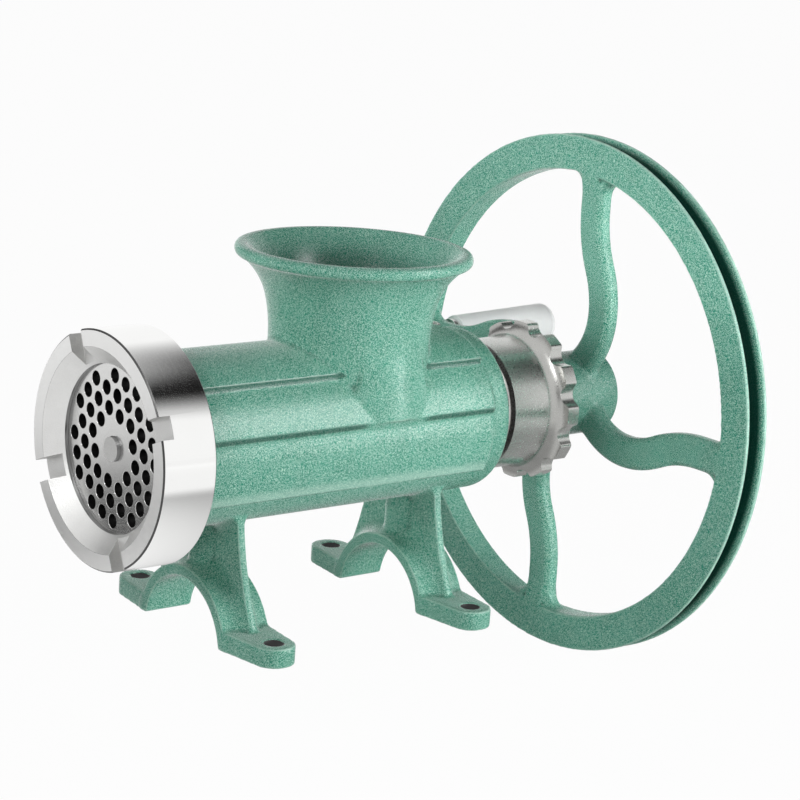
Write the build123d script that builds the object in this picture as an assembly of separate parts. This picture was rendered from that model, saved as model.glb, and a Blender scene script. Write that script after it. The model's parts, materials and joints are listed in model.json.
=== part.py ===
from build123d import *
import math
import os

# A hand cranked meat grinder on four bolted feet, with a spoked flywheel as its crank.
# Millimetres. X runs along the barrel from the mouth to the wheel, Z is up.
# The origin is the middle of the foot bolts, on the surface that the feet stand on.

# Clearances
running_fit = 0.05
thread_fit = 0.3
face_gap = 0.1
loose_fit = 0.3
same_place = 0.01

# Feet and legs
bolt_spacing_x = 133.0
bolt_spacing_y = 128.0
bolt_hole_r = 5.25
foot_thickness = 10.8
foot_end_r = 11.5
leg_length = 30.0
axis_height = 106.0
arch_r = 35.0
arch_drop = 5.0
arch_wall = 6.3
web_thickness = 5.0
web_top_half = 28.5
web_waist_half = 33.5
web_foot_rise = 14.5
web_waist_height = 46.0
arch_scoop_width = 12.0
arch_scoop_height = 7.0
barrel_scoop = 5.0
column_r = 10.0

# Barrel
barrel_r = 45.9
barrel_wall = 5.9
barrel_length = 228.4
barrel_edge_r = 4.0
collar_length = 13.8
mouth_wall = 6.2
mouth_thread_length = 13.7
mouth_cone_length = 8.0
rear_wall_length = 40.8
band_top_rise = 1.7
band_lip_rise = 3.0
band_root_rise = 0.2
band_lip_angles = (48.0, 13.0, -32.0)
band_step_angles = (1.2, 3.6, 2.0)

# Hopper
hopper_x = 20.0
neck_r = 44.3
neck_straight_height = 46.0
neck_swell_height = 68.0
neck_swell = 2.6
flare_height = 90.2
flare_width = 14.6
bead_width = 3.5
bead_r = 3.2
rim_height = 97.2
rim_wall = 5.7
throat_wall = 5.8
throat_straight_height = 48.0

# Ring nut, plate and plate key
ring_front = -139.0
ring_wall = 6.7
ring_width = 31.8
ring_face_width = 9.3
ring_overlap = 5.05
ring_recess_depth = 8.3
ring_lip = 2.0
ring_edge = 0.8
slot_count = 4
slot_width = 12.0
slot_depth = 7.0
slot_angle = 23.8
plate_r = 49.5
plate_thickness = 10.0
plate_proud = 3.0
plate_hole_r = 3.9
plate_hole_pitch = 10.65
plate_hole_turn = 46.5
plate_solid_r = 14.0
plate_rim = 9.0
seat_gap = 3.0
key_r = 3.0
key_grip = 6.0

# Knife and its stud
knife_gap = 2.5
knife_thickness = 14.0
knife_hub_r = 15.0
knife_blades = 4
blade_width = 13.0
blade_land = 5.0
blade_thickness = 9.0
stud_square = 16.0
stud_pin_r = 6.5
stud_proud = 2.0
stud_root_r = 8.0
stud_root_length = 26.0

# Feed screw and its shaft
screw_gap = 0.7
screw_core_front_r = 14.0
screw_core_rear_r = 21.0
screw_pitch = 42.0
screw_flight = 9.0
screw_tail_gap = 2.0
shoulder_r = 28.0
shoulder_length = 6.0
journal_r = 16.0
seat_step = 3.0
shaft_thread_r = 8.0
shaft_thread_proud = 2.0

# Adjusting nut, bush and thrust washers
bush_wall = 4.95
bush_setback = 2.0
spigot_wall = 12.0
spigot_depth = 35.0
nut_gap = 10.0
sleeve_step = 4.5
sleeve_length = 40.2
nut_flange = 8.0
nut_flare = 8.0
lobe_rise = 8.5
lobe_count = 12
lobe_round = 2.2
scallop_r = 6.5
scallop_depth = 5.0
washer_gap = 2.0
washer_thickness = 2.5

# Flywheel
hub_gap = 4.5
hub_length = 46.5
hub_wall = 11.6
hub_pocket_wall = 5.6
hub_pocket_depth = 22.0
wheel_r = 152.4
rim_depth = 20.5
rim_width = 15.8
rim_setback = 24.9
groove_width = 11.4
groove_floor = 4.0
groove_depth = 10.0
spoke_count = 4
spoke_width = 18.6
spoke_thickness = 11.0
spoke_bevel = 2.8
spoke_bow = 23.0
spoke_bow_height = 52.0
spoke_bow_r = 58.0
spoke_root_offset = 2.0
spoke_root_height = 14.0
spoke_end_offset = 9.5
spoke_end_length = 20.9
spoke_rim_fillet = 10.0
spoke_hub_fillet = 6.0
spoke_ramp = 14.0
wheel_key_width = 8.0
wheel_key_height = 7.0
wheel_key_sunk = 4.0
wheel_key_length = 20.0
wheel_washer_r = 17.0
wheel_washer_thickness = 2.5
spring_washer_r = 13.5
spring_washer_thickness = 3.5
wheel_nut_flats = 24.0
wheel_nut_height = 13.0

# Turning grip on the wheel
grip_inset = 11.9
grip_length = 77.0
grip_lift = 1.5
grip_root_r = 10.2
grip_end_r = 12.7
grip_dome = 6.0
spindle_r = 5.0
spindle_thread_r = 4.0
spindle_collar_r = 8.5
spindle_collar = 4.0
spindle_head_r = 8.0
spindle_head = 5.0
grip_pocket_r = 9.0
grip_pocket = 12.0
grip_washer_thickness = 1.2
spindle_nut_flats = 13.0
spindle_nut_height = 6.5
spindle_washer_r = 8.0
spindle_washer_thickness = 1.6
spindle_tail = 2.0

# Radii that follow from the walls and fits between the pieces
bore_r = barrel_r - barrel_wall
screw_r = bore_r - screw_gap
knife_r = bore_r - knife_gap
throat_r = neck_r - throat_wall
neck_swell_r = neck_r + neck_swell
flare_r = neck_swell_r + flare_width
rim_r = flare_r + bead_width
rim_mouth_r = rim_r - rim_wall
web_foot_half = arch_r + web_foot_rise
seat_bore_r = plate_r + loose_fit
mouth_r = seat_bore_r + mouth_wall
ring_r = mouth_r + thread_fit + ring_wall
ring_face_r = ring_r - ring_face_width
ring_opening_r = plate_r - ring_overlap
plate_holed_r = plate_r - plate_rim
seat_r = journal_r - seat_step
bush_r = journal_r + running_fit + bush_wall
spigot_r = bush_r + spigot_wall
sleeve_r = spigot_r + sleeve_step
lobe_r = sleeve_r + lobe_rise
washer_r = spigot_r - washer_gap
hub_r = seat_r + hub_wall
hub_pocket_r = hub_r - hub_pocket_wall
rim_inner_r = wheel_r - rim_depth
groove_floor_r = wheel_r - groove_depth
spoke_end_height = rim_inner_r - spoke_end_length

# Places along the axis, each worked out from the piece before it
plate_front = ring_front + ring_recess_depth + ring_lip + face_gap
plate_back = plate_front + plate_thickness
barrel_front = plate_front + plate_proud
seat_floor = plate_back + seat_gap
knife_front = plate_back + face_gap
screw_front = knife_front + knife_thickness
barrel_rear = barrel_front + barrel_length
bands_rear = barrel_rear - collar_length
rear_wall = barrel_rear - rear_wall_length
flight_end = rear_wall - screw_tail_gap
mouth_cone = barrel_front + mouth_thread_length
spigot_front = barrel_rear - spigot_depth
fibre_front = spigot_front - face_gap - washer_thickness
steel_front = fibre_front - washer_thickness
shoulder_back = steel_front - face_gap
shoulder_front = shoulder_back - shoulder_length
sleeve_front = barrel_rear + nut_gap
nut_rear = sleeve_front + sleeve_length
hub_front = nut_rear + hub_gap
hub_rear = hub_front + hub_length
hub_seat_back = hub_rear - hub_pocket_depth
rim_front = hub_rear - rim_setback
rim_back = rim_front + rim_width
spoke_middle = (rim_front + rim_back) / 2
spoke_front = spoke_middle - spoke_thickness / 2
spoke_back = spoke_middle + spoke_thickness / 2
spring_washer_front = hub_seat_back + wheel_washer_thickness
wheel_nut_front = spring_washer_front + spring_washer_thickness
shaft_end = wheel_nut_front + wheel_nut_height + shaft_thread_proud
collar_back = spoke_back + spindle_collar
grip_front = collar_back + face_gap
grip_back = grip_front + grip_length
dome_front = grip_back - grip_dome
pocket_floor = grip_back - grip_pocket
head_front = pocket_floor + grip_washer_thickness + face_gap
head_back = head_front + spindle_head
spindle_washer_front = spoke_front - spindle_washer_thickness
spindle_nut_front = spindle_washer_front - spindle_nut_height
grip_place = Pos(0, rim_inner_r - grip_inset, axis_height + spoke_end_offset + grip_lift)


def along_x(x, r, length):
    """A plain round bar about the X axis, from x onwards."""
    return Pos(x + length / 2, 0, 0) * Rot(0, 90, 0) * Cylinder(r, length)


def on_axis(shape):
    """Lift a shape made about the X axis to the barrel's axis."""
    return Pos(0, 0, axis_height) * shape


def spun(*lines):
    """Spin a closed outline of (x, radius) about the X axis."""
    return revolve(Plane.XZ * make_face(lines), Axis.X)


def turned(*points):
    """Spin a closed polygon of (x, radius) about the X axis."""
    return spun(Polyline(*points, close=True))


def side_extrude(face, x, length):
    """Extrude an outline drawn in (y, z) along +X, from x onwards."""
    return Pos(x, 0, 0) * extrude(Plane.YZ * face, length)


def around(angle):
    """Turn about the X axis: 0 points to -Y, 90 points up."""
    return Rot(180 - angle, 0, 0)


def polar(r, angle):
    """A point in (y, z) about the barrel's axis: 0 points to -Y, 90 points up."""
    turn = math.radians(angle)
    return (-r * math.cos(turn), r * math.sin(turn))


def off_axis(edge):
    """How far an edge's middle lies from the X axis."""
    middle = edge.center()
    return math.hypot(middle.Y, middle.Z)


def hexagon_nut(x, flats, height, bore):
    """A hexagon nut about the X axis."""
    blank = side_extrude(RegularPolygon(flats / 2, 6, major_radius=False), x, height)
    return blank - along_x(x, bore, height)


def washer(x, r, thickness, bore):
    """A flat washer about the X axis."""
    return along_x(x, r, thickness) - along_x(x, bore, thickness)


# Cast body
def band_outline():
    """The barrel's stepped outline in (y, z): raised bands whose lower lips step in."""
    lines = []
    start_r, start_angle = barrel_r + band_top_rise, 90.0
    for lip_angle, step_angle in zip(band_lip_angles, band_step_angles):
        lip_r = barrel_r + band_lip_rise
        middle = polar((start_r + lip_r) / 2, (start_angle + lip_angle) / 2)
        lines.append(ThreePointArc(polar(start_r, start_angle), middle, polar(lip_r, lip_angle)))
        root_r, root_angle = barrel_r + band_root_rise, lip_angle - step_angle
        lines.append(Line(polar(lip_r, lip_angle), polar(root_r, root_angle)))
        start_r, start_angle = root_r, root_angle
    middle = polar(start_r, (start_angle - 90) / 2)
    lines.append(ThreePointArc(polar(start_r, start_angle), middle, polar(start_r, -90)))
    lines.append(Line(polar(start_r, -90), polar(barrel_r + band_top_rise, 90)))
    half = make_face(lines)
    return half + mirror(half, Plane.YZ)


def barrel():
    """The barrel without its bore, about the X axis."""
    edge = barrel_rear - barrel_edge_r
    core = spun(
        Polyline(
            (barrel_front, 0),
            (barrel_front, mouth_r),
            (mouth_cone, mouth_r),
            (mouth_cone + mouth_cone_length, barrel_r),
            (edge, barrel_r),
        ),
        TangentArc((edge, barrel_r), (barrel_rear, barrel_r - barrel_edge_r), tangent=(1, 0)),
        Polyline((barrel_rear, barrel_r - barrel_edge_r), (barrel_rear, 0), (barrel_front, 0)),
    )
    return core + side_extrude(band_outline(), mouth_cone, bands_rear - mouth_cone)


def hopper():
    """The trumpet hopper, spun about its own upright axis from the barrel's axis up."""
    neck_top = (neck_r, neck_straight_height)
    swell_top = (neck_swell_r, neck_swell_height)
    swell = TangentArc(neck_top, swell_top, tangent=(0, 1))
    flare = TangentArc(swell_top, (flare_r, flare_height), tangent=swell % 1)
    bead_in = rim_r - bead_r
    bead_low = flare_height + bead_r
    bead_high = rim_height - bead_r
    outline = [
        Polyline((0, 0), (neck_r, 0), neck_top),
        swell,
        flare,
        Line((flare_r, flare_height), (bead_in, flare_height)),
        TangentArc((bead_in, flare_height), (rim_r, bead_low), tangent=(1, 0)),
        Line((rim_r, bead_low), (rim_r, bead_high)),
        TangentArc((rim_r, bead_high), (bead_in, rim_height), tangent=(0, 1)),
        Polyline((bead_in, rim_height), (0, rim_height), (0, 0)),
    ]
    return Pos(hopper_x, 0, 0) * revolve(Plane.XZ * make_face(outline), Axis.Z)


def throat():
    """The hopper's hollow, from its rim down to the middle of the bore."""
    outline = [
        Polyline((0, 0), (throat_r, 0), (throat_r, throat_straight_height)),
        TangentArc((throat_r, throat_straight_height), (rim_mouth_r, rim_height), tangent=(0, 1)),
        Polyline((rim_mouth_r, rim_height), (0, rim_height), (0, 0)),
    ]
    return Pos(hopper_x, 0, 0) * revolve(Plane.XZ * make_face(outline), Axis.Z)


def scoop_ring(r, width, height):
    """A ring about the X axis that sweeps from a round of radius r up onto the web."""
    half = web_thickness / 2
    wide, high = half + width, r + height
    low = r - height
    return spun(
        Polyline((wide, r), (wide, low), (-wide, low), (-wide, r)),
        TangentArc((-wide, r), (-half, high), tangent=(1, 0)),
        Line((-half, high), (half, high)),
        TangentArc((wide, r), (half, high), tangent=(-1, 0)),
    )


def foot_tongue():
    """One foot's plan, from the middle of the leg out to its rounded end."""
    reach = bolt_spacing_y / 2
    corners = ((-leg_length / 2, 0), (leg_length / 2, 0), (leg_length / 2, arch_r), (foot_end_r, reach))
    taper = Polygon(*corners, (-foot_end_r, reach), (-leg_length / 2, arch_r), align=None)
    return taper + Pos(0, reach) * Circle(foot_end_r)


def leg_pair():
    """An arched bridge with two feet, a scooped web and a middle column, about x = 0."""
    arch_axis = Pos(0, 0, -arch_drop)
    arch_out = arch_r + arch_wall
    arch = arch_axis * along_x(-leg_length / 2, arch_out, leg_length)
    tongue = foot_tongue()
    feet = extrude(tongue, foot_thickness) + extrude(mirror(tongue, Plane.XZ), foot_thickness)
    right = ThreePointArc(
        (web_top_half, axis_height - barrel_r / 2),
        (web_waist_half, web_waist_height),
        (web_foot_half, foot_thickness / 2),
    )
    left = mirror(right, Plane.YZ)
    outline = make_face([right, left, Line(right @ 0, left @ 0), Line(right @ 1, left @ 1)])
    web = side_extrude(outline, -web_thickness / 2, web_thickness)
    arch_scoop = arch_axis * scoop_ring(arch_out, arch_scoop_width, arch_scoop_height)
    barrel_sweep = on_axis(scoop_ring(barrel_r, barrel_scoop, barrel_scoop))
    scoops = (arch_scoop + barrel_sweep) & side_extrude(outline, -leg_length / 2, leg_length)
    column = Pos(0, 0, axis_height / 2) * Cylinder(column_r, axis_height - barrel_r)
    above = Pos(0, 0, axis_height / 2) * Box(leg_length, bolt_spacing_y * 2, axis_height)
    tunnel = arch_axis * along_x(-leg_length / 2, arch_r, leg_length)
    drill = Cylinder(bolt_hole_r, 2 * foot_thickness)
    holes = [Pos(0, side * bolt_spacing_y / 2, foot_thickness) * drill for side in (-1, 1)]
    return ((arch & above) + feet + web + scoops + column) - tunnel - holes


def key_pin(r):
    """The plate key's pin, standing half in the plate's seat at six o'clock."""
    length = seat_floor + key_grip - barrel_front
    return on_axis(Pos(0, 0, -plate_r) * along_x(barrel_front, r, length))


def grinder_body():
    legs = [Pos(side * bolt_spacing_x / 2, 0, 0) * leg_pair() for side in (-1, 1)]
    solid = on_axis(barrel() + hopper()) + legs
    hollows = [
        on_axis(along_x(barrel_front, seat_bore_r, seat_floor - barrel_front)),
        on_axis(along_x(seat_floor, bore_r, rear_wall - seat_floor)),
        on_axis(along_x(rear_wall, spigot_r + thread_fit, rear_wall_length)),
        on_axis(throat()),
        key_pin(key_r),
    ]
    return solid - hollows


def plate_key():
    return key_pin(key_r)


# Mouth
def ring_nut():
    back = ring_front + ring_width
    shoulder = plate_front - face_gap
    slope_back = ring_front + ring_recess_depth
    thread_r = mouth_r + thread_fit
    ring = turned(
        (ring_front, ring_face_r),
        (ring_front, ring_r - ring_edge),
        (ring_front + ring_edge, ring_r),
        (back - ring_edge, ring_r),
        (back, ring_r - ring_edge),
        (back, thread_r),
        (shoulder, thread_r),
        (shoulder, ring_opening_r),
        (slope_back, ring_opening_r),
    )
    reach = ring_r - ring_opening_r
    slot = Pos(ring_front, ring_opening_r + reach / 2, 0) * Box(2 * slot_depth, 2 * reach, slot_width)
    slots = [around(slot_angle + turn * 360 / slot_count) * slot for turn in range(slot_count)]
    return on_axis(ring - slots)


def plate_hole_places():
    """Hexagonal rows of holes between the plate's solid middle and its rim."""
    rows = int(plate_r / plate_hole_pitch) + 1
    steps = [(a, b) for a in range(-2 * rows, 2 * rows + 1) for b in range(-2 * rows, 2 * rows + 1)]
    spots = [
        (plate_hole_pitch * (a + b * math.cos(math.pi / 3)), plate_hole_pitch * b * math.sin(math.pi / 3))
        for a, b in steps
    ]
    return [spot for spot in spots if plate_solid_r < math.hypot(*spot) < plate_holed_r]


def grinding_plate():
    places = [Pos(*spot) for spot in plate_hole_places()]
    holes = around(plate_hole_turn) * side_extrude(
        Sketch() + [place * Circle(plate_hole_r) for place in places], plate_front, plate_thickness
    )
    disc = washer(plate_front, plate_r, plate_thickness, stud_pin_r + running_fit)
    notch_r = key_r + loose_fit
    notch = Pos(0, 0, -plate_r) * along_x(plate_front, notch_r, plate_thickness)
    return on_axis(disc - holes - notch)


def knife():
    """Four blades whose front lands shear against the plate, on a square drive."""
    hub = along_x(knife_front, knife_hub_r, knife_thickness)
    back = knife_front + blade_thickness
    section = Polyline(
        (knife_front, -blade_width / 2),
        (knife_front, blade_land - blade_width / 2),
        (back, blade_width / 2),
        (back, -blade_width / 2),
        close=True,
    )
    blade = extrude(make_face(section), knife_r)
    blades = [Rot(turn * 360 / knife_blades, 0, 0) * blade for turn in range(knife_blades)]
    blank = (hub + blades) & along_x(knife_front, knife_r, knife_thickness)
    side = stud_square + 2 * running_fit
    drive = Pos(knife_front + knife_thickness / 2, 0, 0) * Box(knife_thickness, side, side)
    return on_axis(blank - drive)


def knife_stud():
    """The stud in the screw's nose: a square for the knife and a pin that centres the plate."""
    pin_front = plate_front - stud_proud
    square = Pos((knife_front + screw_front) / 2, 0, 0) * Box(knife_thickness, stud_square, stud_square)
    pin = along_x(pin_front, stud_pin_r, knife_front - pin_front)
    root = along_x(screw_front, stud_root_r, stud_root_length)
    return on_axis(square + pin + root)


# Feed screw
def feed_screw():
    core = turned(
        (screw_front, 0),
        (screw_front, screw_core_front_r),
        (flight_end, screw_core_rear_r),
        (shoulder_front, shoulder_r),
        (shoulder_back, shoulder_r),
        (shoulder_back, journal_r),
        (hub_front, journal_r),
        (hub_front, seat_r),
        (hub_seat_back, seat_r),
        (hub_seat_back, shaft_thread_r),
        (shaft_end, shaft_thread_r),
        (shaft_end, 0),
    )
    sweep = 360 * screw_flight / screw_pitch
    inner_r = screw_core_front_r / 2
    blade = make_face(
        [
            CenterArc((0, 0), inner_r, 0, sweep),
            CenterArc((0, 0), screw_r, 0, sweep),
            Line((inner_r, 0), (screw_r, 0)),
            Line(polar(-inner_r, -sweep), polar(-screw_r, -sweep)),
        ]
    )
    length = flight_end - screw_front
    turns = 360 * length / screw_pitch
    twist = Solid.extrude_linear_with_rotation(blade.face(), (0, 0, 0), (0, 0, length), turns)
    flight = Pos(screw_front, 0, 0) * Rot(0, 90, 0) * twist
    socket = along_x(screw_front, stud_root_r, stud_root_length)
    return on_axis(core + flight - socket - wheel_key_bar())


def wheel_key_bar():
    """The key's bar about the X axis, sunk into the top of the shaft's wheel seat."""
    middle = (hub_front + hub_seat_back) / 2
    lift = seat_r - wheel_key_sunk + wheel_key_height / 2
    return Pos(middle, 0, lift) * Box(wheel_key_length, wheel_key_width, wheel_key_height)


def thrust_washer():
    return on_axis(washer(steel_front, washer_r, washer_thickness, journal_r + loose_fit))


def fibre_washer():
    return on_axis(washer(fibre_front, washer_r, washer_thickness, journal_r + loose_fit))


# Adjusting nut
def adjusting_nut():
    flange_front = nut_rear - nut_flange
    flare_front = flange_front - nut_flare
    blank = spun(
        Polyline(
            (flare_front, sleeve_r),
            (sleeve_front, sleeve_r),
            (sleeve_front, spigot_r),
            (spigot_front, spigot_r),
            (spigot_front, bush_r),
            (nut_rear, bush_r),
            (nut_rear, lobe_r),
            (flange_front, lobe_r),
        ),
        TangentArc((flare_front, sleeve_r), (flange_front, lobe_r), tangent=(1, 0)),
    )
    middle = lobe_r - scallop_depth + scallop_r
    scallop = Pos(0, middle, 0) * along_x(sleeve_front, scallop_r, sleeve_length)
    step = 360 / lobe_count
    nut = blank - [around(step / 2 + turn * step) * scallop for turn in range(lobe_count)]
    long_edges = nut.edges().filter_by(Axis.X)
    tips = [edge for edge in long_edges if abs(off_axis(edge) - lobe_r) < same_place]
    return on_axis(fillet(tips, lobe_round))


def bearing_bush():
    length = nut_rear - spigot_front - 2 * bush_setback
    return on_axis(washer(spigot_front + bush_setback, bush_r, length, journal_r + running_fit))


# Flywheel
def spoke_line():
    """One spoke's middle line in (y, z), pointing up, as an ogee of tangent arcs."""
    drop, rise = spoke_bow - spoke_end_offset, spoke_end_height - spoke_bow_height
    both_r = (drop**2 + rise**2) / (2 * drop)
    share = spoke_bow_r / both_r
    bow = (-spoke_bow, spoke_bow_height)
    bend = (-spoke_bow + share * drop, spoke_bow_height + share * rise)
    end = (-spoke_end_offset, spoke_end_height)
    root = (-spoke_root_offset, spoke_root_height)
    return [
        TangentArc(bow, root, tangent=(0, -1)),
        TangentArc(bow, bend, tangent=(0, 1)),
        TangentArc(end, bend, tangent=(0, -1)),
        Line(end, (-spoke_end_offset, (rim_inner_r + wheel_r) / 2)),
    ]


def spokes(width):
    """The spokes' plan in (y, z), each of the given width about its middle line."""
    spoke = trace(spoke_line(), width)
    return Sketch() + [Rot(0, 0, turn * 360 / spoke_count) * spoke for turn in range(spoke_count)]


def spoke_ramps():
    """Wedges that bring the spokes' flats up to the rim's faces, front and back."""
    foot_r = rim_inner_r - spoke_ramp
    cones = turned(
        (spoke_front, foot_r),
        (rim_front, rim_inner_r),
        (rim_back, rim_inner_r),
        (spoke_back, foot_r),
    )
    return cones & side_extrude(spokes(spoke_width - 2 * spoke_bevel), rim_front, rim_width)


def flywheel():
    plan = Circle(groove_floor_r) - Circle(rim_inner_r) + Circle(hub_r) + spokes(spoke_width)
    for round_r, corner_r in ((rim_inner_r, spoke_rim_fillet), (hub_r, spoke_hub_fillet)):
        corners = [v for v in plan.vertices() if abs(math.hypot(v.X, v.Y) - round_r) < same_place]
        plan = fillet(corners, corner_r)
    web = side_extrude(plan, spoke_front, spoke_thickness)
    faces = web.faces().sort_by(Axis.X)
    windows = [wire for face in (faces[0], faces[-1]) for wire in face.inner_wires()]
    web = chamfer([edge for wire in windows for edge in wire.edges()], spoke_bevel)
    side = (rim_width - groove_width) / 2
    floor = (rim_width - groove_floor) / 2
    rim = turned(
        (rim_front, rim_inner_r),
        (rim_front, wheel_r),
        (rim_front + side, wheel_r),
        (rim_front + floor, groove_floor_r),
        (rim_back - floor, groove_floor_r),
        (rim_back - side, wheel_r),
        (rim_back, wheel_r),
        (rim_back, rim_inner_r),
    )
    hub = along_x(hub_front, hub_r, hub_length)
    bore = along_x(hub_front, seat_r, hub_length)
    pocket = along_x(hub_seat_back, hub_pocket_r, hub_pocket_depth)
    keyway_rise = wheel_key_height - wheel_key_sunk + loose_fit
    keyway = Pos(hub_front + hub_length / 2, 0, seat_r) * Box(hub_length, wheel_key_width, 2 * keyway_rise)
    spindle_cuts = [
        along_x(spoke_front, spindle_thread_r, spoke_thickness),
        along_x(rim_front, spindle_washer_r + loose_fit, spoke_front - rim_front),
        along_x(spoke_back, spindle_collar_r + loose_fit, rim_back - spoke_back),
    ]
    wheel = on_axis(web + spoke_ramps() + rim + hub - bore - pocket - keyway)
    return wheel - [grip_place * cut for cut in spindle_cuts]


def wheel_key():
    return on_axis(wheel_key_bar())


def wheel_washer():
    bore = shaft_thread_r + loose_fit
    return on_axis(washer(hub_seat_back, wheel_washer_r, wheel_washer_thickness, bore))


def wheel_spring_washer():
    bore = shaft_thread_r + loose_fit
    return on_axis(washer(spring_washer_front, spring_washer_r, spring_washer_thickness, bore))


def wheel_nut():
    return on_axis(hexagon_nut(wheel_nut_front, wheel_nut_flats, wheel_nut_height, shaft_thread_r))


# Grip
def grip():
    """A tapered sleeve with a pocket in its end for the spindle's head."""
    sleeve = turned(
        (grip_front, spindle_r + running_fit),
        (grip_front, grip_root_r),
        (dome_front, grip_end_r),
        (dome_front, grip_pocket_r),
        (pocket_floor, grip_pocket_r),
        (pocket_floor, spindle_r + running_fit),
    )
    return grip_place * sleeve


def grip_cap():
    """The domed plug that closes the grip's end."""
    plug_front = head_back + face_gap
    flat_r = grip_end_r - grip_dome
    outline = [
        Polyline((grip_back, flat_r), (grip_back, 0), (plug_front, 0), (plug_front, grip_pocket_r)),
        Polyline((plug_front, grip_pocket_r), (dome_front, grip_pocket_r), (dome_front, grip_end_r)),
        TangentArc((dome_front, grip_end_r), (grip_back, flat_r), tangent=(1, 0)),
    ]
    return grip_place * spun(*outline)


def grip_washer():
    bore = spindle_r + running_fit
    return grip_place * washer(pocket_floor, grip_pocket_r - loose_fit, grip_washer_thickness, bore)


def grip_spindle():
    """A shouldered spindle: thread through the spoke, collar, journal and head."""
    tail = spindle_nut_front - spindle_tail
    return grip_place * turned(
        (tail, 0),
        (tail, spindle_thread_r),
        (spoke_back, spindle_thread_r),
        (spoke_back, spindle_collar_r),
        (collar_back, spindle_collar_r),
        (collar_back, spindle_r),
        (head_front, spindle_r),
        (head_front, spindle_head_r),
        (head_back, spindle_head_r),
        (head_back, 0),
    )


def spindle_washer():
    bore = spindle_thread_r + loose_fit
    return grip_place * washer(spindle_washer_front, spindle_washer_r, spindle_washer_thickness, bore)


def spindle_nut():
    return grip_place * hexagon_nut(
        spindle_nut_front, spindle_nut_flats, spindle_nut_height, spindle_thread_r
    )


pieces = [
    grinder_body,
    plate_key,
    ring_nut,
    grinding_plate,
    knife,
    knife_stud,
    feed_screw,
    thrust_washer,
    fibre_washer,
    adjusting_nut,
    bearing_bush,
    flywheel,
    wheel_key,
    wheel_washer,
    wheel_spring_washer,
    wheel_nut,
    grip,
    grip_cap,
    grip_washer,
    grip_spindle,
    spindle_washer,
    spindle_nut,
]

os.makedirs("parts", exist_ok=True)
for piece in pieces:
    export_step(piece(), f"parts/{piece.__name__}.step")
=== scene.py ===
# %% [markdown]
# # A bench meat grinder with a flywheel crank
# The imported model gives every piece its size, place and body. This lesson dresses those pieces:
# soft cast edges, hammered enamel, polished and satin metal, and studio light. All lengths are metres.

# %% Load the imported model
import bmesh
import bpy
import json
import math
import numpy as np
from mathutils import Matrix, Vector


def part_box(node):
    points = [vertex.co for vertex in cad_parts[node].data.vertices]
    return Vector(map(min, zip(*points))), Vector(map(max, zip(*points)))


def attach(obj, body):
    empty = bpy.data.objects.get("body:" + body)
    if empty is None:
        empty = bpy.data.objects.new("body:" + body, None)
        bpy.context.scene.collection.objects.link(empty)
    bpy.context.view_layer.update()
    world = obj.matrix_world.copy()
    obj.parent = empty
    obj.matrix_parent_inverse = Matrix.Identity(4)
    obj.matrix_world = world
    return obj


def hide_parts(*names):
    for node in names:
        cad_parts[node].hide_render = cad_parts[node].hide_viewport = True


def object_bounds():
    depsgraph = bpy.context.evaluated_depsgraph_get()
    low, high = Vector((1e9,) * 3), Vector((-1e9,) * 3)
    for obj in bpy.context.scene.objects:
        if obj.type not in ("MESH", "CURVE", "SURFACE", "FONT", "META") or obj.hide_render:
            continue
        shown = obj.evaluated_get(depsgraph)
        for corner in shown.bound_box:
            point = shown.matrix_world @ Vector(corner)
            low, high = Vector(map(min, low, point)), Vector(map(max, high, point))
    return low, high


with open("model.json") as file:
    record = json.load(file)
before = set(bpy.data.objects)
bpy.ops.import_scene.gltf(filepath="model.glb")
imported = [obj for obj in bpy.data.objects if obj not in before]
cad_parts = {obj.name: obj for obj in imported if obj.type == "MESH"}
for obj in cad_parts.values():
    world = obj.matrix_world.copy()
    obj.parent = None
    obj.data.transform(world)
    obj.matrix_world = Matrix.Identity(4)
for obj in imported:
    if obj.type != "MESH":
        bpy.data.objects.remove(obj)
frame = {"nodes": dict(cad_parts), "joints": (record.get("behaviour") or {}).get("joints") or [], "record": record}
nodes = frame["nodes"]
cad_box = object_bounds()
scene = bpy.context.scene
scene.view_settings.view_transform = "Standard"
mm = 0.001

# %% [markdown]
# ## Places that the frame gives
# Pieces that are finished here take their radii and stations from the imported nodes, so they follow the
# construction. The barrel's axis is level and parallel to X, and the wheel turns on it. The body's mouth and
# the adjusting nut's spigot both start with a round step, which carries a thread on the real grinder.

# %% Measure the round pieces
slack = 0.05 * mm
end_slice = 0.5 * mm


def span(node, axis):
    """The lowest and highest value of a node along one axis."""
    low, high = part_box(node)
    return low[axis], high[axis]


def half_width(node):
    """Half of a node's size along Y, which is the radius of a round piece."""
    low, high = span(node, 1)
    return (high - low) / 2


def points_of(node):
    """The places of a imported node's vertices."""
    return [vertex.co for vertex in nodes[node].data.vertices]


def radius_of(point):
    """Distance of a point from the barrel's axis."""
    return math.hypot(point.y, point.z - axis_z)


def front_step(node, reach):
    """The radius of the round step at a node's low X end, its start and the X where it ends."""
    points = points_of(node)
    start = min(point.x for point in points)
    r = max(radius_of(point) for point in points if point.x < start + end_slice)
    near = [point for point in points if point.x < start + reach]
    end = max(point.x for point in near if abs(radius_of(point) - r) < slack)
    return r, start, end


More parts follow.
